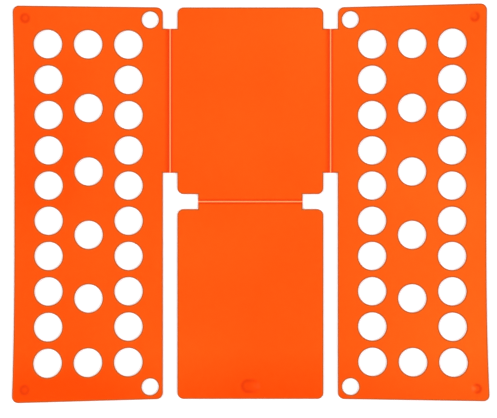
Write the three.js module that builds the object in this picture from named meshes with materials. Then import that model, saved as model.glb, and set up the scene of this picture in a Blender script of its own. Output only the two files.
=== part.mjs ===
// Shirt folding board, lying open and flat with its hinge grooves upward.
// A plain centre panel carries a perforated flap on each side and a plain flap below it.
// Each flap hangs on a living hinge: a strip of the same plastic, thinned to a web along its middle.
// Low ring-shaped feet under the free edges of the flaps leave room for the fingers.
// Millimetres. +X is to the right, +Y is the collar end, +Z is up, and the feet stand on Z = 0.
import * as THREE from 'three';

// ---- driving dimensions ----------------------------------------------------

const BOARD_WIDTH = 680;
const BOARD_DEPTH = 564;
const SHEET_THICKNESS = 1.5;
const CORNER_RADIUS = 9;

const CENTRE_WIDTH = 210.4;
const CENTRE_DEPTH = 269;
const SIDE_GAP = 20.8; // between the centre panel and each side flap
const LOWER_GAP = 21.5; // between the centre panel and the lower flap

const SIDE_HINGE_INSET = 30.7; // from each end of the centre panel
const LOWER_HINGE_INSET = 29.9; // from each side of the centre panel
const HINGE_STRIP_WIDTH = 8.6;
const WEB_WIDTH = 2.1;
const WEB_THICKNESS = 0.4;

const VENT_DIAMETER = 40.5;
const VENT_COLUMN_PITCH = 57.6;
const VENT_ROW_PITCH = 50.7; // in the two outer columns of a flap
const OUTER_COLUMN_VENTS = 10;
const MIDDLE_COLUMN_VENTS = 6; // spread over the same length as the outer columns

const HANG_HOLE_DIAMETER = 24;
const HANG_HOLE_INSET = 18; // from the two inner edges of a side flap's corner

const FOOT_HEIGHT = 1.2;
const FOOT_EDGE = 0.3; // chamfer on the feet
const ROUND_FOOT_DIAMETER = 14;
const ROUND_FOOT_BORE = 7;
const ROUND_FOOT_INSET = 17.5; // from the two outer edges of a side flap's corner
const OVAL_FOOT_LENGTH = 27;
const OVAL_FOOT_WIDTH = 20;
const OVAL_FOOT_WALL = 4;
const OVAL_FOOT_INSET = 18.5; // from the lower flap's free edge

const CORNER_SEGMENTS = 8;
const SHOULDER_SEGMENTS = 5;
const ROUND_SEGMENTS = 32;

const PLASTIC_COLOUR = 0xff5c13;
const WEB_COLOUR = 0xff7a3c; // the thin web lets more light through

// ---- positions that follow from them -----------------------------------------

const HALF_WIDTH = BOARD_WIDTH / 2;
const TOP_EDGE = BOARD_DEPTH / 2;
const BOTTOM_EDGE = -BOARD_DEPTH / 2;
const CENTRE_HALF_WIDTH = CENTRE_WIDTH / 2;
const CENTRE_BOTTOM = TOP_EDGE - CENTRE_DEPTH;
const FLAP_INNER_EDGE = CENTRE_HALF_WIDTH + SIDE_GAP;
const LOWER_FLAP_TOP = CENTRE_BOTTOM - LOWER_GAP;

const SIDE_HINGE_X = CENTRE_HALF_WIDTH + SIDE_GAP / 2;
const LOWER_HINGE_Y = CENTRE_BOTTOM - LOWER_GAP / 2;
const SIDE_HINGE_SPAN = { from: CENTRE_BOTTOM + SIDE_HINGE_INSET, to: TOP_EDGE - SIDE_HINGE_INSET };
const LOWER_HINGE_HALF = CENTRE_HALF_WIDTH - LOWER_HINGE_INSET;
const LOWER_HINGE_SPAN = { from: -LOWER_HINGE_HALF, to: LOWER_HINGE_HALF };
const SIDE_TAB_REACH = (SIDE_GAP - HINGE_STRIP_WIDTH) / 2;
const LOWER_TAB_REACH = (LOWER_GAP - HINGE_STRIP_WIDTH) / 2;

// ---- outlines ------------------------------------------------------------------

function arcPoints(x, y, radius, startAngle, sweep, segments) {
  const points = [];
  for (let i = 0; i <= segments; i += 1) {
    const angle = startAngle + (sweep * i) / segments;
    points.push(new THREE.Vector2(x + radius * Math.cos(angle), y + radius * Math.sin(angle)));
  }
  return points;
}

function circlePoints(x, y, diameter) {
  const lap = arcPoints(x, y, diameter / 2, 0, 2 * Math.PI, ROUND_SEGMENTS);
  return lap.slice(0, -1); // the last point repeats the first
}

function stadiumPoints(x, y, length, width) {
  const offset = (length - width) / 2;
  const half = ROUND_SEGMENTS / 2;
  return [
    ...arcPoints(x + offset, y, width / 2, -Math.PI / 2, Math.PI, half),
    ...arcPoints(x - offset, y, width / 2, Math.PI / 2, Math.PI, half),
  ];
}

// The four corners of a square tab, in the order an anticlockwise outline meets them.
function tabPoints(side, box, tab) {
  if (!tab) {
    return [];
  }
  const edge = box[side];
  const outward = side === 'right' || side === 'top' ? 1 : -1;
  const tip = edge + outward * tab.reach;
  const upright = side === 'right' || side === 'left';
  const rising = side === 'right' || side === 'bottom';
  const [first, last] = rising ? [tab.from, tab.to] : [tab.to, tab.from];
  const corners = [[edge, first], [tip, first], [tip, last], [edge, last]];
  return corners.map(([across, along]) =>
    upright ? new THREE.Vector2(across, along) : new THREE.Vector2(along, across));
}

// A panel seen from above, anticlockwise: rounded corners, with a hinge tab on some of its sides.
function panelOutline(box, tabs) {
  const quarter = Math.PI / 2;
  const corner = (x, y, startAngle) => arcPoints(x, y, CORNER_RADIUS, startAngle, quarter, CORNER_SEGMENTS);
  const x = [box.left + CORNER_RADIUS, box.right - CORNER_RADIUS];
  const y = [box.bottom + CORNER_RADIUS, box.top - CORNER_RADIUS];
  return [
    ...corner(x[0], y[0], 2 * quarter),
    ...tabPoints('bottom', box, tabs.bottom),
    ...corner(x[1], y[0], 3 * quarter),
    ...tabPoints('right', box, tabs.right),
    ...corner(x[1], y[1], 0),
    ...tabPoints('top', box, tabs.top),
    ...corner(x[0], y[1], quarter),
    ...tabPoints('left', box, tabs.left),
  ];
}

// ---- bodies ----------------------------------------------------------------------

function addMesh(group, name, geometry, colour) {
  const material = new THREE.MeshStandardMaterial({ color: colour, roughness: 0.45, metalness: 0 });
  material.name = `${name}_material`;
  const mesh = new THREE.Mesh(geometry, material);
  mesh.name = name;
  group.add(mesh);
}

function shapeWithHoles(outline, holes) {
  const shape = new THREE.Shape(outline);
  shape.holes = holes.map((points) => new THREE.Path(points));
  return shape;
}

function addPanel(group, name, outline, holes) {
  const shape = shapeWithHoles(outline, holes);
  const geometry = new THREE.ExtrudeGeometry(shape, { depth: SHEET_THICKNESS, bevelEnabled: false });
  geometry.translate(0, 0, FOOT_HEIGHT);
  addMesh(group, name, geometry, PLASTIC_COLOUR);
}

function addFoot(group, name, outline, bore) {
  const geometry = new THREE.ExtrudeGeometry(shapeWithHoles(outline, [bore]), {
    depth: FOOT_HEIGHT - 2 * FOOT_EDGE,
    bevelThickness: FOOT_EDGE,
    bevelSize: FOOT_EDGE,
    bevelOffset: -FOOT_EDGE,
    bevelSegments: 1,
  });
  geometry.translate(0, 0, FOOT_EDGE);
  addMesh(group, name, geometry, PLASTIC_COLOUR);
}

// The top of a hinge strip's right half, from its side down a rounded shoulder to the web.
function shoulderPoints() {
  const side = HINGE_STRIP_WIDTH / 2;
  const web = WEB_WIDTH / 2;
  return Array.from({ length: SHOULDER_SEGMENTS + 1 }, (_, i) => {
    const share = i / SHOULDER_SEGMENTS;
    const height = SHEET_THICKNESS - (SHEET_THICKNESS - WEB_THICKNESS) * share ** 2;
    return new THREE.Vector2(side + (web - side) * share, height);
  });
}

// A hinge strip along Y: flat underneath, and grooved on top down to the web in the middle.
function hingeStripGeometry(length) {
  const side = HINGE_STRIP_WIDTH / 2;
  const rightHalf = shoulderPoints();
  const leftHalf = rightHalf.map((point) => new THREE.Vector2(-point.x, point.y)).reverse();
  const section = new THREE.Shape([
    new THREE.Vector2(-side, 0),
    new THREE.Vector2(side, 0),
    ...rightHalf,
    ...leftHalf,
  ]);
  const geometry = new THREE.ExtrudeGeometry(section, { depth: length, bevelEnabled: false });
  geometry.translate(0, 0, -length / 2);
  geometry.rotateX(Math.PI / 2);
  return geometry;
}

// ---- the sub-parts -----------------------------------------------------------------

function addCentrePanel(group) {
  const box = { left: -CENTRE_HALF_WIDTH, right: CENTRE_HALF_WIDTH, bottom: CENTRE_BOTTOM, top: TOP_EDGE };
  const sideTab = { ...SIDE_HINGE_SPAN, reach: SIDE_TAB_REACH };
  const lowerTab = { ...LOWER_HINGE_SPAN, reach: LOWER_TAB_REACH };
  const outline = panelOutline(box, { left: sideTab, right: sideTab, bottom: lowerTab });
  addPanel(group, 'centre_panel', outline, []);
}

function addLowerFlap(group) {
  const box = { left: -CENTRE_HALF_WIDTH, right: CENTRE_HALF_WIDTH, bottom: BOTTOM_EDGE, top: LOWER_FLAP_TOP };
  const outline = panelOutline(box, { top: { ...LOWER_HINGE_SPAN, reach: LOWER_TAB_REACH } });
  addPanel(group, 'lower_flap', outline, []);
}

// A column of vent holes, spread evenly over the same length whatever their number.
function ventColumn(x, count) {
  const length = VENT_ROW_PITCH * (OUTER_COLUMN_VENTS - 1);
  const pitch = length / (count - 1);
  return Array.from({ length: count }, (_, i) => circlePoints(x, length / 2 - i * pitch, VENT_DIAMETER));
}

function addSideFlap(group, name, sign) {
  const edges = [sign * FLAP_INNER_EDGE, sign * HALF_WIDTH];
  const box = { left: Math.min(...edges), right: Math.max(...edges), bottom: BOTTOM_EDGE, top: TOP_EDGE };
  const tab = { ...SIDE_HINGE_SPAN, reach: SIDE_TAB_REACH };
  const outline = panelOutline(box, sign > 0 ? { left: tab } : { right: tab });
  const middle = (box.left + box.right) / 2;
  const hangHoleX = sign * (FLAP_INNER_EDGE + HANG_HOLE_INSET);
  const hangHoleY = TOP_EDGE - HANG_HOLE_INSET;
  addPanel(group, name, outline, [
    ...ventColumn(middle - VENT_COLUMN_PITCH, OUTER_COLUMN_VENTS),
    ...ventColumn(middle, MIDDLE_COLUMN_VENTS),
    ...ventColumn(middle + VENT_COLUMN_PITCH, OUTER_COLUMN_VENTS),
    circlePoints(hangHoleX, hangHoleY, HANG_HOLE_DIAMETER),
    circlePoints(hangHoleX, -hangHoleY, HANG_HOLE_DIAMETER),
  ]);
}

function addHinges(group) {
  const sideLength = SIDE_HINGE_SPAN.to - SIDE_HINGE_SPAN.from;
  const sideMiddle = (SIDE_HINGE_SPAN.to + SIDE_HINGE_SPAN.from) / 2;
  for (const [name, sign] of [['left_hinge_strip', -1], ['right_hinge_strip', 1]]) {
    const geometry = hingeStripGeometry(sideLength);
    geometry.translate(sign * SIDE_HINGE_X, sideMiddle, FOOT_HEIGHT);
    addMesh(group, name, geometry, WEB_COLOUR);
  }
  const lower = hingeStripGeometry(LOWER_HINGE_SPAN.to - LOWER_HINGE_SPAN.from);
  lower.rotateZ(Math.PI / 2);
  lower.translate(0, LOWER_HINGE_Y, FOOT_HEIGHT);
  addMesh(group, 'lower_hinge_strip', lower, WEB_COLOUR);
}

function addFeet(group) {
  const x = HALF_WIDTH - ROUND_FOOT_INSET;
  const y = TOP_EDGE - ROUND_FOOT_INSET;
  for (const [sideName, sideSign] of [['left', -1], ['right', 1]]) {
    for (const [endName, endSign] of [['top', 1], ['bottom', -1]]) {
      const outline = circlePoints(sideSign * x, endSign * y, ROUND_FOOT_DIAMETER);
      const bore = circlePoints(sideSign * x, endSign * y, ROUND_FOOT_BORE);
      addFoot(group, `${sideName}_${endName}_foot`, outline, bore);
    }
  }
  const ovalY = BOTTOM_EDGE + OVAL_FOOT_INSET;
  const boreLength = OVAL_FOOT_LENGTH - 2 * OVAL_FOOT_WALL;
  const boreWidth = OVAL_FOOT_WIDTH - 2 * OVAL_FOOT_WALL;
  const outline = stadiumPoints(0, ovalY, OVAL_FOOT_LENGTH, OVAL_FOOT_WIDTH);
  addFoot(group, 'lower_flap_foot', outline, stadiumPoints(0, ovalY, boreLength, boreWidth));
}

// ---- assembly ------------------------------------------------------------------------

const board = new THREE.Group();
board.name = 'shirt_folding_board';
addCentrePanel(board);
addSideFlap(board, 'left_flap', -1);
addSideFlap(board, 'right_flap', 1);
addLowerFlap(board);
addHinges(board);
addFeet(board);

export default board;
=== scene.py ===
import math

import bmesh
import bpy
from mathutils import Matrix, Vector, geometry
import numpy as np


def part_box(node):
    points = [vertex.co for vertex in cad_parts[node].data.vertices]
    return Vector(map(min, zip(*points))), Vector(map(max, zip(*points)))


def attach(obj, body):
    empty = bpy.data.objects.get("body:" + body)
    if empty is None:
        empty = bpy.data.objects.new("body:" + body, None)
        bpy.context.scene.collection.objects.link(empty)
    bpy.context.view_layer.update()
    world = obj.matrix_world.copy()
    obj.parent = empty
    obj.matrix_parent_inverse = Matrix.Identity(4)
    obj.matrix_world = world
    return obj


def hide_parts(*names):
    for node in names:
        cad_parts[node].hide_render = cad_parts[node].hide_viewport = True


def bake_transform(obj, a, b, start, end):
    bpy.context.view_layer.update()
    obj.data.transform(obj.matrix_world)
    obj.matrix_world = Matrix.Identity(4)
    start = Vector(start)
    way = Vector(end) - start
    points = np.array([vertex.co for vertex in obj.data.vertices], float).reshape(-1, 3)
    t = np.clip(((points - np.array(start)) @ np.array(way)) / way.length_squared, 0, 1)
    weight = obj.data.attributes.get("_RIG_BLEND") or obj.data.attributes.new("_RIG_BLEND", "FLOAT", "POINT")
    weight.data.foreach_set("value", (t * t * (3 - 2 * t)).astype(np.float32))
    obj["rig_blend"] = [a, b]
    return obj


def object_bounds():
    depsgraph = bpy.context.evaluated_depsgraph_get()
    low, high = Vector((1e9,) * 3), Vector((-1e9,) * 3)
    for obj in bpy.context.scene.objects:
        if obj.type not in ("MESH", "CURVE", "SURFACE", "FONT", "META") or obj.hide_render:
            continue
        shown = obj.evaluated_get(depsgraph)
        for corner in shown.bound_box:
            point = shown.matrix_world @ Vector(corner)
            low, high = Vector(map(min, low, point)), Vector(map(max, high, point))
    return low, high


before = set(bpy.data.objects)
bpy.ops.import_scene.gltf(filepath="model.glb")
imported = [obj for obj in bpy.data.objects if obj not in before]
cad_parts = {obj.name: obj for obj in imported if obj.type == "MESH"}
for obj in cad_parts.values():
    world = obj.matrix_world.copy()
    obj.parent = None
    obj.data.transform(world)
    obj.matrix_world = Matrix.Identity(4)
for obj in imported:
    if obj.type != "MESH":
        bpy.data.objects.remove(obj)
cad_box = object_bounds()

# ---- driving dimensions (metres) -------------------------------------------------------

EDGE_RADIUS = 0.00035       # rounding of the moulded sheet's edges
EDGE_STEPS = 4
SHARP_ANGLE = 40.0          # degrees between faces, above which an edge isn't smoothed
# Painted shade at the sheet's rims, where its rounded edges turn from the light:
BROWN_SHADE_WIDTH = 0.0011        # the sheet's rim is browner this far in,
BROWN_SHADE_FADE = 0.0029         # and the tint has faded out here
CIRCLE_STEPS = 64
LONGEST_STRETCH = 0.025     # between two points of a straight edge

WEB_HALF_WIDTH = 0.00105    # flat web in the middle of a hinge strip
WEB_THICKNESS = 0.0004
SHOULDER = 0.00325          # from the web to the strip's side
STRIP_STEPS = 40            # across the strip, so that it bends smoothly
STRIP_END_DRAW = 0.4        # its ends round off by at most this share of the thickness

LONG_SHADE = 0.0085         # reach, from the web, of the shade on an upright hinge's -X side
SHORT_SHADE = 0.0042        # and on its other side, and on both sides of the level hinge
SEAM_CORNER = 0.0034        # a tab's end loses its painted rim shade this far from its corners

MARK_DEPTH = 0.00022        # ring that sinks into the upper face over each foot
MARK_HALO = 0.0025          # its shade starts this far outside the foot,
MARK_CORE = 0.3             # and its steps stop at this share of the foot's bore
MARK_SHADE = 0.85           # deepest shade, over the foot's wall
MARK_DUSK = 0.5             # share of it that is left over the bore
MARK_STEPS = 14
GLINT_FROM = 0.7            # where the ring is fainter than this it glints,
GLINT = 0.6                 # by this much for the rest
FOOT_LIP = 0.0004           # rounding of the foot's lower rims
FOOT_DRAFT = 0.00015        # the foot's walls lean by this much
FOOT_ROOT = 0.0002          # how far a foot's top is buried in the sheet
FOOT_SHADE = 0.4            # how deep the painted shade is over the whole foot, which sits under the sheet

NEAR = 1e-5                 # two points closer than this are the same point
WELD = 1e-6                 # vertices of a CAD mesh closer than this are joined,
FINE_WELD = 1e-7            # and so are new ones closer than this
SLIVER = 1e-5               # a triangle with less area than this share of its longest side squared
ROUND_POINTS = 12           # a round rim has at least this many points
INSIDE_ONLY = 1             # asks a triangulation for what lies inside its edges

# Tints that vertices carry, and the colour that each one turns the plastic into: painted shade and light.
TINTS = {
    # painted shade: a brownish rim where the edges turn from the light, and over the feet under the sheet
    "brown": (0.54, 0.100, 0.012, 1.0),
    # painted shade beside the hinges' webs and in the sunk rings over the feet
    "dark": (0.76, 0.040, 0.001, 1.0),
    # painted light: the floor's light through the thin hinge webs, and glints on the sunk rings
    "pale": (1.0, 0.33, 0.11, 1.0),
}
# The orange lies between these two, by a lightness from 0 to 1.
DEEP_ORANGE = (0.97, 0.0657, 0.0003, 1.0)
LIGHT_ORANGE = (1.0, 0.134, 0.0080, 1.0)
# A painted light grows across the board, from its left end to its right end:
LEFT_LIGHTNESS = 0.08       # at the board's left end,
RIGHT_LIGHTNESS = 0.51      # and at its right end
CLOUDS = 0.315              # the most that soft clouds add
MOTTLE = 0.03               # the most that a fine mottle adds or takes
FRONT_SHADE = 0.355         # what the front edge loses,
FRONT_REACH = 0.07          # and how far from it the loss ends

# How fine each texture is: its waves per metre, and how many finer octaves it adds.
CLOUD_NOISE = (4.2, 1.5)
WAVE_NOISE = (14.0, 1.0)
SHEEN_NOISE = (40.0, 4.0)
MOTTLE_NOISE = (150.0, 2.0)
GRAIN_NOISE = (1400.0, 2.0)
CLOUD_PLACE = (-14.46, 6.23, 0.0)    # in metres, where the clouds are cut from the noise
NOISE_SPAN = (0.3, 0.7)     # the part of a noise's 0 to 1 that is used

# Each finish's mean roughness, and the strength of its grain.
FINISHES = {"sheet": (0.42, 0.35), "web": (0.36, 0.2), "foot": (0.40, 0.25)}
ROUGHNESS_SWING = 0.055
GRAIN_DEPTH = 0.0001
WAVE_DEPTH = 0.0006
WAVE_STRENGTH = 0.25
SHINE = 0.05                # specular level: a satin surface that hardly glints
SCATTER = 0.08              # share of the light that scatters under the surface,
SCATTER_REACH = 0.002       # how far it goes,
SCATTER_SPREAD = (1.0, 0.25, 0.05)   # and the shares of that reach for red, green and blue

# The picture spans this width on the board, seen from straight above its middle, a little low.
PICTURE_WIDTH = 0.7159
PICTURE_CENTRE = (-0.0027, -0.0084)
LENS = 120.0
SENSOR = 36.0
# Where each light shines from, and its strength.
LIGHTS = {"key_light": ((0.9, -0.35, 0.9), 1.65), "fill_light": ((-0.9, 0.35, 0.9), 1.4)}
LIGHT_SPREAD = 35.0         # degrees across each light
SKY_STRENGTH = 0.42
WHITE = (1.0, 1.0, 1.0, 1.0)
FLOOR_WHITE = (0.93, 0.93, 0.93, 1.0)
FLOOR_ROUGHNESS = 0.9
FLOOR_SHINE = 0.1
FLOOR_GLOW = 0.2            # keeps the floor nearly white all over
FLOOR_RADIUS = 8.0
FLOOR_DROP = 0.00002        # keeps the floor just under the feet
SWEEP_RADIUS = 3.0          # of the curve from the floor up into the wall
SWEEP_STEPS = 12

PANELS = {"centre_panel": "centre", "left_flap": "left", "right_flap": "right", "lower_flap": "lower"}
HINGES = {"left_hinge_strip": "left", "right_hinge_strip": "right", "lower_hinge_strip": "lower"}
FEET = {
    "left_top_foot": "left",
    "left_bottom_foot": "left",
    "right_top_foot": "right",
    "right_bottom_foot": "right",
    "lower_flap_foot": "lower",
}
# The side flaps are slightly sprung: their outer corners stand out by (X, Y).
SPRUNG_CORNERS = {
    "left": {"top": (-0.0027, 0.0027), "bottom": (-0.0038, -0.0063)},
    "right": {"top": (0.0010, 0.0060), "bottom": (0.0050, -0.0035)},
}
SPRING_POWER = 3            # how fast the spring dies away towards a flap's middle

# Painted shade in a foot's sunk ring, faint on its lit side: (direction in degrees, how faint from 0 to 1).
RING_GAPS = {
    "left_top_foot": (45.0, 0.15),
    "left_bottom_foot": (0.0, 0.2),
    "right_top_foot": (135.0, 0.7),
    "right_bottom_foot": (180.0, 1.0),
    "lower_flap_foot": (0.0, 0.8),
}


# ---- small helpers -----------------------------------------------------------------------

def smooth(value):
    """Eases 0 to 1, and holds outside that."""
    value = min(1.0, max(0.0, value))
    return value * value * (3.0 - 2.0 * value)


def heading(angle):
    """The unit vector at an angle in plan."""
    return Vector((math.cos(angle), math.sin(angle)))


def rounding(radius):
    """A rounded corner's points, as distances in from the face it starts on and from the other."""
    turns = [0.5 * math.pi * i / EDGE_STEPS for i in range(EDGE_STEPS + 1)]
    return [(radius * (1.0 - math.cos(turn)), radius * (1.0 - math.sin(turn))) for turn in turns]


def make_object(name, mesh_data, material):
    """A smooth-shaded object from a bmesh whose vertices carry the tints."""
    mesh = bpy.data.meshes.new(name)
    mesh_data.to_mesh(mesh)
    mesh_data.free()
    mesh.shade_smooth()
    mesh.set_sharp_from_angle(angle=math.radians(SHARP_ANGLE))
    mesh.materials.append(material)
    piece = bpy.data.objects.new(name, mesh)
    bpy.context.scene.collection.objects.link(piece)
    return piece


def new_mesh():
    """An empty bmesh with the tint layers that the plastic's material reads."""
    mesh_data = bmesh.new()
    for tint in TINTS:
        mesh_data.verts.layers.float.new(tint)
    return mesh_data


def add_vertex(mesh_data, point, **tints):
    """A vertex that carries the given tints, and none of the others."""
    vertex = mesh_data.verts.new(point)
    for tint, amount in tints.items():
        vertex[mesh_data.verts.layers.float[tint]] = amount
    return vertex


def bridge(mesh_data, first, second):
    """Quads between two closed rings of vertices of equal length."""
    count = len(first)
    for i in range(count):
        j = (i + 1) % count
        mesh_data.faces.new((first[i], second[i], second[j], first[j]))


# ---- outlines read from the CAD sheets ---------------------------------------------------------

def upper_rims(node):
    """The closed rims of a CAD sheet's upper face, as 2-D points with the material on their left."""
    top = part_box(node)[1].z
    mesh_data = bmesh.new()
    mesh_data.from_mesh(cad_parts[node].data)
    bmesh.ops.remove_doubles(mesh_data, verts=mesh_data.verts, dist=WELD)
    upper = {f for f in mesh_data.faces if all(abs(v.co.z - top) < NEAR for v in f.verts)}
    following = {}
    for face in upper:
        for loop in face.loops:
            if sum(f in upper for f in loop.edge.link_faces) == 1:
                following[loop.vert.index] = loop.link_loop_next.vert.index
    points = [v.co.to_2d() for v in mesh_data.verts]
    mesh_data.free()
    rims = []
    while following:
        at = min(following)
        rim = []
        while at in following:
            rim.append(points[at])
            at = following.pop(at)
        rims.append(rim)
    return rims


def as_circle(rim):
    """(centre, radius) of a round rim, or None."""
    centre = sum(rim, Vector((0.0, 0.0))) / len(rim)
    radii = [(p - centre).length for p in rim]
    if len(rim) < ROUND_POINTS or max(radii) - min(radii) > NEAR:
        return None
    return centre, max(radii)


def rounder(rim):
    """A round rim again, in finer steps and the same sense. Any other rim is left as it is."""
    circle = as_circle(rim)
    if circle is None:
        return rim
    centre, radius = circle
    return [centre + radius * heading(-2.0 * math.pi * i / CIRCLE_STEPS) for i in range(CIRCLE_STEPS)]


def joins(point):
    """(direction into the strip, reach of its shade) where a point is on a strip's side, or None."""
    for strip in HINGES:
        low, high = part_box(strip)
        across = 0 if high.x - low.x < high.y - low.y else 1
        along = 1 - across
        on_side = min(abs(point[across] - low[across]), abs(point[across] - high[across])) < NEAR
        if on_side and low[along] - NEAR < point[along] < high[along] + NEAR:
            inwards = Vector((0.0, 0.0))
            inwards[across] = math.copysign(1.0, (low[across] + high[across]) / 2 - point[across])
            return inwards, LONG_SHADE if inwards.x > 0 else SHORT_SHADE
    return None


def into_strips(rim):
    """(point, share of the painted rim shade, reach of a hinge's painted shade or None) round a rim. Tab
    ends go a rounding's width into the hinge strips, so that no seam shows, with rim shade at their corners
    only."""
    moved = []
    for i, point in enumerate(rim):
        here, following = joins(point), joins(rim[(i + 1) % len(rim)])
        if not here:
            moved.append((point, 1.0, None))
            continue
        inwards, reach = here
        placed = point + inwards * EDGE_RADIUS
        moved.append((placed, 1.0, reach))
        if following and following[0] == inwards:
            end = rim[(i + 1) % len(rim)] + inwards * EDGE_RADIUS
            corner = (end - placed).normalized() * SEAM_CORNER
            moved.append((placed + corner, 0.0, reach))
            moved.append((end - corner, 0.0, reach))
    return moved


def finer(placed):
    """The same rim with points added along its long straight stretches."""
    added = []
    for i, (point, brown, reach) in enumerate(placed):
        added.append((point, brown, reach))
        end, end_brown, end_reach = placed[(i + 1) % len(placed)]
        steps = math.ceil((end - point).length / LONGEST_STRETCH)
        between = (min(brown, end_brown), reach if reach == end_reach else None)
        added += [(point.lerp(end, step / steps), *between) for step in range(1, steps)]
    return added


def inset(rim, distance):
    """The rim moved into the material by a distance, mitred at its corners."""
    moved = []
    for i, point in enumerate(rim):
        before = (point - rim[i - 1]).normalized()
        after = (rim[(i + 1) % len(rim)] - point).normalized()
        normals = [Vector((-d.y, d.x)) for d in (before, after)]
        mitre = (normals[0] + normals[1]) / (1.0 + normals[0].dot(normals[1]))
        moved.append(point + mitre * distance)
    return moved


def spring(mesh_data, body):
    """Moves a side flap's vertices in plan, towards its sprung outer corners."""
    if body not in SPRUNG_CORNERS:
        return
    low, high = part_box(body + "_flap")
    inner, outer = sorted((low.x, high.x), key=abs)
    middle, half = (low.y + high.y) / 2, (high.y - low.y) / 2
    for vertex in mesh_data.verts:
        across = max(0.0, (vertex.co.x - inner) / (outer - inner))
        along = (vertex.co.y - middle) / half
        corner = SPRUNG_CORNERS[body]["top" if along > 0 else "bottom"]
        vertex.co.xy += Vector(corner) * across * abs(along) ** SPRING_POWER


# ---- feet and the rings over them ---------------------------------------------------------------

def foot_plan(node):
    """(centre, half length of the straight core, bore radius, outer radius) of a CAD foot, from above."""
    low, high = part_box(node)
    centre = (low + high) / 2
    outer = (high.y - low.y) / 2
    core = (high.x - low.x) / 2 - outer
    bore = outer
    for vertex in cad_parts[node].data.vertices:
        x = abs(vertex.co.x - centre.x)
        bore = min(bore, math.hypot(max(0.0, x - core), vertex.co.y - centre.y))
    return centre.to_2d(), core, bore, outer


def foot_path(plan, radius):
    """Points round a foot's core at a radius, anticlockwise."""
    centre, core, _, _ = plan
    half = CIRCLE_STEPS // 2
    path = []
    for side in (1.0, -1.0):
        end = centre + Vector((side * core, 0.0))
        for i in range(half if core < NEAR else half + 1):
            path.append(end + radius * heading(math.pi * (i / half - 0.5 * side)))
    return path


def mark_rings(plan):
    """(path, depth, shade) of the rings that a foot's sink mark is made of, outermost first."""
    _, _, bore, outer = plan
    inner, rim = MARK_CORE * bore, outer + MARK_HALO
    wall = (bore + outer) / 2
    rings = []
    for i in range(MARK_STEPS + 1):
        radius = rim + (inner - rim) * i / MARK_STEPS
        sunk = smooth(1.0 - abs(radius - wall) / (outer - bore))
        shade = MARK_DUSK + (1.0 - MARK_DUSK) * sunk
        if radius > wall:
            shade = smooth((rim - radius) / (rim - wall))
        rings.append((foot_path(plan, radius), MARK_DEPTH * sunk, MARK_SHADE * shade))
    return rings


def add_mark(mesh_data, foot, top):
    """The rings of vertices that dip the sheet's upper face over a foot, with painted shade and a painted
    glint.
    """
    plan = foot_plan(foot)
    gap, faintness = RING_GAPS[foot]
    gap_side = heading(math.radians(gap))
    rings = []
    for path, depth, shade in mark_rings(plan):
        ring = []
        for point in path:
            faint = faintness * max(0.0, (point - plan[0]).normalized().dot(gap_side))
            # painted shade in the ring, and a painted glint where it is faintest
            dark = shade * (1.0 - faint)
            pale = shade * GLINT * max(0.0, faint - GLINT_FROM)
            ring.append(add_vertex(mesh_data, (point.x, point.y, top - depth), dark=dark, pale=pale))
        rings.append(ring)
    return rings


def add_foot(node, body, material):
    """A low hollow boss: rounded lip, slightly drafted walls, and its top buried in the sheet."""
    plan = foot_plan(node)
    _, _, bore, outer = plan
    low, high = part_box(node)
    lip = rounding(FOOT_LIP)
    section = [(bore, high.z + FOOT_ROOT)]
    section += [(bore + FOOT_DRAFT + across, low.z + up) for across, up in lip]
    section += [(outer - FOOT_DRAFT - across, low.z + up) for across, up in reversed(lip)]
    section.append((outer, high.z + FOOT_ROOT))
    mesh_data = new_mesh()
    rings = []
    for radius, height in section:
        path = foot_path(plan, radius)
        # painted shade over the whole foot, for the shade under the sheet
        rings.append([add_vertex(mesh_data, (p.x, p.y, height), brown=FOOT_SHADE) for p in path])
    for first, second in zip(rings, rings[1:] + rings[:1]):
        bridge(mesh_data, first, second)
    bmesh.ops.recalc_face_normals(mesh_data, faces=mesh_data.faces)
    spring(mesh_data, body)
    piece = make_object(node + "_boss", mesh_data, material)
    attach(piece, body)
    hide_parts(node)


# ---- panels -----------------------------------------------------------------------------------

def rim_shade(distance):
    """How deep the painted rim shade is, from 0 to 1, at a distance from the plastic's edge."""
    return min(1.0, max(0.0, (BROWN_SHADE_FADE - distance) / (BROWN_SHADE_FADE - BROWN_SHADE_WIDTH)))


def hinge_shade(reach, distance):
    """How deep the painted shade beside a hinge is, from 0 to 1, at a distance from its web."""
    return max(0.0, 1.0 - distance / reach)


def edge_section(low, high):
    """(inset, height, tint) down the sheet's rounded edge, from its upper face to its lower one."""
    section = [(across, high, rim_shade(across)) for across in (BROWN_SHADE_FADE, BROWN_SHADE_WIDTH)]
    section += [(across, high - down, 1.0) for down, across in rounding(EDGE_RADIUS)]
    upside_down = [(across, low + high - height, tint) for across, height, tint in reversed(section)]
    return section + upside_down


def encloses(rim, point):
    """Whether a point lies inside a closed rim."""
    inside = False
    for first, second in zip(rim, rim[1:] + rim[:1]):
        if (first.y > point.y) != (second.y > point.y):
            share = (point.y - first.y) / (second.y - first.y)
            if point.x < first.x + share * (second.x - first.x):
                inside = not inside
    return inside


def is_sliver(corners):
    """Whether a triangle is so flat that its three corners lie on one line."""
    following = corners[1:] + corners[:1]
    longest = max((first.co - second.co).length for first, second in zip(corners, following))
    return geometry.area_tri(*(vertex.co for vertex in corners)) < SLIVER * longest ** 2


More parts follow.
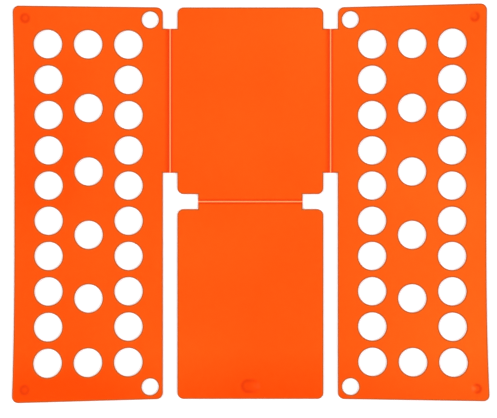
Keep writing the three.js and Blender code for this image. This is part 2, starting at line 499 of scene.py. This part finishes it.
def fill_face(mesh_data, rims, inner_rings, facing):
    """Triangles inside the outline and outside the holes, through the vertices of the inner rings."""
    plans = [[v.co.to_2d() for v in rim] for rim in rims]
    circles = [as_circle(plan) for plan in plans]
    holes = [circle for circle in circles if circle]
    outline = next(plan for plan, circle in zip(plans, circles) if not circle)
    rings = rims + inner_rings
    vertices = [v for ring in rings for v in ring]
    edges = []
    start = 0
    for ring in rings:
        count = len(ring)
        edges += [(start + i, start + (i + 1) % count) for i in range(count)]
        start += count
    flat = [v.co.to_2d() for v in vertices]
    _, _, faces, sources, _, _ = geometry.delaunay_2d_cdt(flat, edges, [], INSIDE_ONLY, FINE_WELD, True)
    for face in faces:
        corners = [vertices[sources[i][0]] for i in face]
        middle = sum((v.co.to_2d() for v in corners), Vector((0.0, 0.0))) / len(corners)
        in_hole = any((middle - centre).length < radius for centre, radius in holes)
        if in_hole or is_sliver(corners) or not encloses(outline, middle):
            continue
        made = mesh_data.faces.new(corners)
        made.normal_update()
        if made.normal.z * facing < 0:
            made.normal_flip()


def shade_end(mesh_data, placed, top):
    """The row of vertices where a long hinge shade ends, on a line beside its tab's end."""
    points = inset([point for point, _, _ in placed], LONG_SHADE - SHOULDER)
    shaded = [reach == LONG_SHADE and brown == 0.0 for _, brown, reach in placed]
    ends = [point for point, is_shaded in zip(points, shaded) if is_shaded]
    return [add_vertex(mesh_data, (point.x, point.y, top)) for point in ends]


def add_rim(mesh_data, placed, section):
    """Rings of vertices down one rim of a sheet, with quads between them."""
    points = [point for point, _, _ in placed]
    rings = []
    for across, height, tint in section:
        ring = []
        for point, (_, brown, reach) in zip(inset(points, across), placed):
            # painted shade on a tab beside its hinge
            dark = hinge_shade(reach, SHOULDER + across) if reach else 0.0
            ring.append(add_vertex(mesh_data, (point.x, point.y, height), brown=brown * tint, dark=dark))
        rings.append(ring)
    for first, second in zip(rings, rings[1:]):
        bridge(mesh_data, first, second)
    return rings


def add_panel(node, body, marks, material):
    """A moulded sheet on the CAD outline, with rounded edges and a sunk ring over each of its feet."""
    low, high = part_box(node)
    section = edge_section(low.z, high.z)
    mesh_data = new_mesh()
    upper, lower, inner_rings = [], [], []
    for rim in upper_rims(node):
        placed = finer(into_strips(rounder(rim)))
        rings = add_rim(mesh_data, placed, section)
        upper.append(rings[0])
        lower.append(rings[-1])
        inner_rings.append(shade_end(mesh_data, placed, high.z))
    for foot in marks:
        inner_rings += add_mark(mesh_data, foot, high.z)
    fill_face(mesh_data, upper, inner_rings, facing=1)
    fill_face(mesh_data, lower, [], facing=-1)
    spring(mesh_data, body)
    piece = make_object(node + "_sheet", mesh_data, material)
    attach(piece, body)
    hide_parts(node)


# ---- living hinges ------------------------------------------------------------------------------

def strip_height(distance, half_width, thickness):
    """Thickness of a hinge strip at a distance from its middle line: a web with rounded shoulders."""
    share = (abs(distance) - WEB_HALF_WIDTH) / (half_width - WEB_HALF_WIDTH)
    share = min(1.0, max(0.0, share))
    return WEB_THICKNESS + (thickness - WEB_THICKNESS) * (1.0 - (1.0 - share) ** 2)


def end_inset(distance):
    """How far a rounded end's surface has drawn in, at a distance from the end."""
    reach = max(0.0, EDGE_RADIUS - distance)
    return EDGE_RADIUS - math.sqrt(EDGE_RADIUS ** 2 - reach ** 2)


def strip_section(half_width, thickness, upright, to_end):
    """(distance, underside, top, tints) across a hinge strip, at a distance from its nearer end."""
    section = []
    for i in range(STRIP_STEPS + 1):
        distance = half_width * (2.0 * i / STRIP_STEPS - 1.0)
        height = strip_height(distance, half_width, thickness)
        drawn = min(end_inset(to_end), STRIP_END_DRAW * height)
        # painted light from the floor through the thin web
        pale = 1.0 if abs(distance) < WEB_HALF_WIDTH else 0.0
        reach = LONG_SHADE if upright and distance < 0 else SHORT_SHADE
        # painted shade on the shoulders beside the web
        dark = (1.0 - pale) * hinge_shade(reach, abs(distance) - WEB_HALF_WIDTH)
        tints = {"brown": rim_shade(to_end), "dark": dark, "pale": pale}
        section.append((distance, drawn, height - drawn, tints))
    return section


def strip_rows(half_length):
    """(place along a hinge strip, distance from its nearer end) of its rows, closest at its ends."""
    ends = [from_end for from_end, _ in rounding(EDGE_RADIUS)] + [BROWN_SHADE_WIDTH, BROWN_SHADE_FADE]
    rows = [(end - half_length, end) for end in ends + [half_length]]
    return rows + [(half_length - end, end) for end in reversed(ends)]


def close_end(mesh_data, ring):
    """Quads over the end of a strip, whose ring runs along its top and back along its underside."""
    for i in range(STRIP_STEPS):
        mesh_data.faces.new((ring[i], ring[i + 1], ring[-2 - i], ring[-1 - i]))


def add_hinge(node, body, material):
    """A hinge strip that bends between the centre panel and its flap."""
    low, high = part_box(node)
    middle = (low + high) / 2
    upright = high.x - low.x < high.y - low.y
    half_width = min(high.x - low.x, high.y - low.y) / 2
    half_length = max(high.x - low.x, high.y - low.y) / 2
    mesh_data = new_mesh()
    rings = []
    for position, to_end in strip_rows(half_length):
        upper, lower = [], []
        for distance, underside, top, tints in strip_section(half_width, high.z - low.z, upright, to_end):
            x, y = (distance, position) if upright else (position, distance)
            upper.append(add_vertex(mesh_data, (middle.x + x, middle.y + y, low.z + top), **tints))
            lower.append(add_vertex(mesh_data, (middle.x + x, middle.y + y, low.z + underside), **tints))
        rings.append(upper + lower[::-1])
    for first, second in zip(rings, rings[1:]):
        bridge(mesh_data, first, second)
    close_end(mesh_data, rings[0])
    close_end(mesh_data, rings[-1])
    bmesh.ops.remove_doubles(mesh_data, verts=mesh_data.verts, dist=FINE_WELD)
    bmesh.ops.recalc_face_normals(mesh_data, faces=mesh_data.faces)
    piece = make_object(node + "_web", mesh_data, material)
    sides = [Vector(middle), Vector(middle)]    # where it meets the centre panel, and its flap
    axis = 0 if upright else 1
    towards_flap = -1.0 if body in ("left", "lower") else 1.0
    sides[0][axis] -= towards_flap * half_width
    sides[1][axis] += towards_flap * half_width
    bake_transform(piece, "centre", body, start=sides[0], end=sides[1])
    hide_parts(node)


# ---- plastic -----------------------------------------------------------------------------------

# Sockets of a mix node that mixes colours.
MIX_SHARE, MIX_FIRST, MIX_SECOND, MIX_RESULT = 0, 6, 7, 2


def add_node(tree, kind, **inputs):
    """A new shader node with some of its inputs set. A name's _ stands for a space."""
    node = tree.nodes.new(kind)
    for name, value in inputs.items():
        node.inputs[name.replace("_", " ")].default_value = value
    return node


def noise(tree, coordinates, fineness):
    """A noise from 0 to 1, as fine as one of the pairs above says."""
    scale, detail = fineness
    node = add_node(tree, "ShaderNodeTexNoise", Scale=scale, Detail=detail)
    tree.links.new(coordinates, node.inputs["Vector"])
    return node.outputs["Fac"]


def span(tree, value, low, high, start=0.0, end=1.0):
    """Maps a value's low..high on to start..end."""
    node = add_node(tree, "ShaderNodeMapRange", From_Min=low, From_Max=high, To_Min=start, To_Max=end)
    tree.links.new(value, node.inputs["Value"])
    return node.outputs["Result"]


def mix_colour(tree, share, first, second):
    """Mixes a colour or a socket with a second colour by a share socket."""
    node = tree.nodes.new("ShaderNodeMix")
    node.data_type = "RGBA"
    tree.links.new(share, node.inputs[MIX_SHARE])
    for socket, colour in ((node.inputs[MIX_FIRST], first), (node.inputs[MIX_SECOND], second)):
        if isinstance(colour, tuple):
            socket.default_value = colour
        else:
            tree.links.new(colour, socket)
    return node.outputs[MIX_RESULT]


def add_up(tree, first, *others):
    """The sum of some sockets."""
    total = first
    for socket in others:
        node = tree.nodes.new("ShaderNodeMath")
        tree.links.new(total, node.inputs[0])
        tree.links.new(socket, node.inputs[1])
        total = node.outputs[0]
    return total


def lightness(tree, place):
    """How light the orange is: a painted light that grows across the board, clouds, a fine mottle,
    and a painted shade along the front edge.
    """
    split = tree.nodes.new("ShaderNodeSeparateXYZ")
    tree.links.new(place, split.inputs["Vector"])
    (left, front, _), (right, _, _) = cad_box
    # painted light, growing from the board's left end to its right end
    drift = span(tree, split.outputs["X"], left, right, LEFT_LIGHTNESS, RIGHT_LIGHTNESS)
    moved = tree.nodes.new("ShaderNodeVectorMath")
    moved.inputs[1].default_value = CLOUD_PLACE
    tree.links.new(place, moved.inputs[0])
    clouds = span(tree, noise(tree, moved.outputs["Vector"], CLOUD_NOISE), *NOISE_SPAN, 0.0, CLOUDS)
    mottle = span(tree, noise(tree, place, MOTTLE_NOISE), *NOISE_SPAN, -MOTTLE, MOTTLE)
    # painted shade along the front edge
    near_front = span(tree, split.outputs["Y"], front, front + FRONT_REACH, -FRONT_SHADE, 0.0)
    return add_up(tree, drift, clouds, mottle, near_front)


def tinted(tree, colour):
    """The colour turned by each tint that the vertices carry: painted shade and painted light."""
    for tint, tint_colour in TINTS.items():
        amount = tree.nodes.new("ShaderNodeAttribute")
        amount.attribute_name = tint
        colour = mix_colour(tree, amount.outputs["Fac"], colour, tint_colour)
    return colour


def uneven(tree, place, grain):
    """The surface's normal: a fine grain on long shallow waves."""
    fine = add_node(tree, "ShaderNodeBump", Strength=grain, Distance=GRAIN_DEPTH)
    tree.links.new(noise(tree, place, GRAIN_NOISE), fine.inputs["Height"])
    wavy = add_node(tree, "ShaderNodeBump", Strength=WAVE_STRENGTH, Distance=WAVE_DEPTH)
    tree.links.new(noise(tree, place, WAVE_NOISE), wavy.inputs["Height"])
    tree.links.new(fine.outputs["Normal"], wavy.inputs["Normal"])
    return wavy.outputs["Normal"]


def plastic(finish):
    """Satin orange polypropylene: soft clouds, fine grain, painted shade at edges, painted light where thin.
    """
    roughness, grain = FINISHES[finish]
    material = bpy.data.materials.new("orange_" + finish)
    material.use_nodes = True
    tree = material.node_tree
    shader = tree.nodes["Principled BSDF"]
    place = tree.nodes.new("ShaderNodeTexCoord").outputs["Object"]
    orange = mix_colour(tree, lightness(tree, place), DEEP_ORANGE, LIGHT_ORANGE)
    sheen = noise(tree, place, SHEEN_NOISE)
    rough = span(tree, sheen, *NOISE_SPAN, roughness - ROUGHNESS_SWING, roughness + ROUGHNESS_SWING)
    tree.links.new(tinted(tree, orange), shader.inputs["Base Color"])
    tree.links.new(rough, shader.inputs["Roughness"])
    tree.links.new(uneven(tree, place, grain), shader.inputs["Normal"])
    shader.inputs["Specular IOR Level"].default_value = SHINE
    shader.inputs["Subsurface Weight"].default_value = SCATTER
    shader.inputs["Subsurface Radius"].default_value = SCATTER_SPREAD
    shader.inputs["Subsurface Scale"].default_value = SCATTER_REACH
    return material


# ---- stage ---------------------------------------------------------------------------------------

def add_camera():
    """A camera straight above the board, at the height from which its view is the picture's width."""
    top = cad_box[1].z
    data = bpy.data.cameras.new("camera")
    data.lens = LENS
    data.sensor_width = SENSOR
    camera = bpy.data.objects.new("camera", data)
    camera.location = (PICTURE_CENTRE[0], PICTURE_CENTRE[1], top + PICTURE_WIDTH * LENS / SENSOR)
    bpy.context.scene.collection.objects.link(camera)
    bpy.context.scene.camera = camera


def add_light(name, direction, strength):
    """A broad, far light that shines from a direction, so that the floor is evenly lit everywhere."""
    data = bpy.data.lights.new(name, "SUN")
    data.energy = strength
    data.angle = math.radians(LIGHT_SPREAD)
    light = bpy.data.objects.new(name, data)
    light.rotation_euler = Vector(direction).to_track_quat("Z", "Y").to_euler()
    bpy.context.scene.collection.objects.link(light)


def floor_profile():
    """(radius, height) up the floor, from its flat disc into its low wall."""
    profile = [(FLOOR_RADIUS, 0.0)]
    for i in range(1, SWEEP_STEPS + 1):
        angle = 0.5 * math.pi * i / SWEEP_STEPS
        profile.append((FLOOR_RADIUS + SWEEP_RADIUS * math.sin(angle), SWEEP_RADIUS * (1 - math.cos(angle))))
    return profile


def floor_paper():
    """Plain matt white paper."""
    paper = bpy.data.materials.new("floor_paper")
    paper.use_nodes = True
    shader = paper.node_tree.nodes["Principled BSDF"]
    shader.inputs["Base Color"].default_value = FLOOR_WHITE
    shader.inputs["Roughness"].default_value = FLOOR_ROUGHNESS
    shader.inputs["Specular IOR Level"].default_value = FLOOR_SHINE
    shader.inputs["Emission Color"].default_value = WHITE
    shader.inputs["Emission Strength"].default_value = FLOOR_GLOW
    return paper


def add_floor():
    """A round pale floor that sweeps up into a low wall."""
    turns = [2.0 * math.pi * i / CIRCLE_STEPS for i in range(CIRCLE_STEPS)]
    mesh_data = bmesh.new()
    rings = []
    for radius, height in floor_profile():
        z = height - FLOOR_DROP
        rings.append([mesh_data.verts.new((radius * math.cos(a), radius * math.sin(a), z)) for a in turns])
    mesh_data.faces.new(rings[0])
    for first, second in zip(rings, rings[1:]):
        bridge(mesh_data, first, second)
    bmesh.ops.recalc_face_normals(mesh_data, faces=mesh_data.faces)
    mesh = bpy.data.meshes.new("floor")
    mesh_data.to_mesh(mesh)
    mesh_data.free()
    mesh.shade_smooth()
    mesh.materials.append(floor_paper())
    floor = bpy.data.objects.new("floor", mesh)
    bpy.context.scene.collection.objects.link(floor)


def add_lighting():
    """Two broad lights in a white room, and colours shown as they are."""
    for name, (direction, strength) in LIGHTS.items():
        add_light(name, direction, strength)
    world = bpy.data.worlds.new("studio")
    world.use_nodes = True
    world.node_tree.nodes["Background"].inputs["Color"].default_value = WHITE
    world.node_tree.nodes["Background"].inputs["Strength"].default_value = SKY_STRENGTH
    bpy.context.scene.world = world
    bpy.context.scene.view_settings.view_transform = "Standard"


# ---- the board -------------------------------------------------------------------------------------

def feet_of(body):
    """The feet under the panel that rides on a body."""
    return [foot for foot, rides_on in FEET.items() if rides_on == body]


sheet_plastic = plastic("sheet")
web_plastic = plastic("web")
foot_plastic = plastic("foot")
for panel, rides_on in PANELS.items():
    add_panel(panel, rides_on, feet_of(rides_on), sheet_plastic)
for hinge, rides_on in HINGES.items():
    add_hinge(hinge, rides_on, web_plastic)
for foot, rides_on in FEET.items():
    add_foot(foot, rides_on, foot_plastic)
add_floor()
add_lighting()
add_camera()
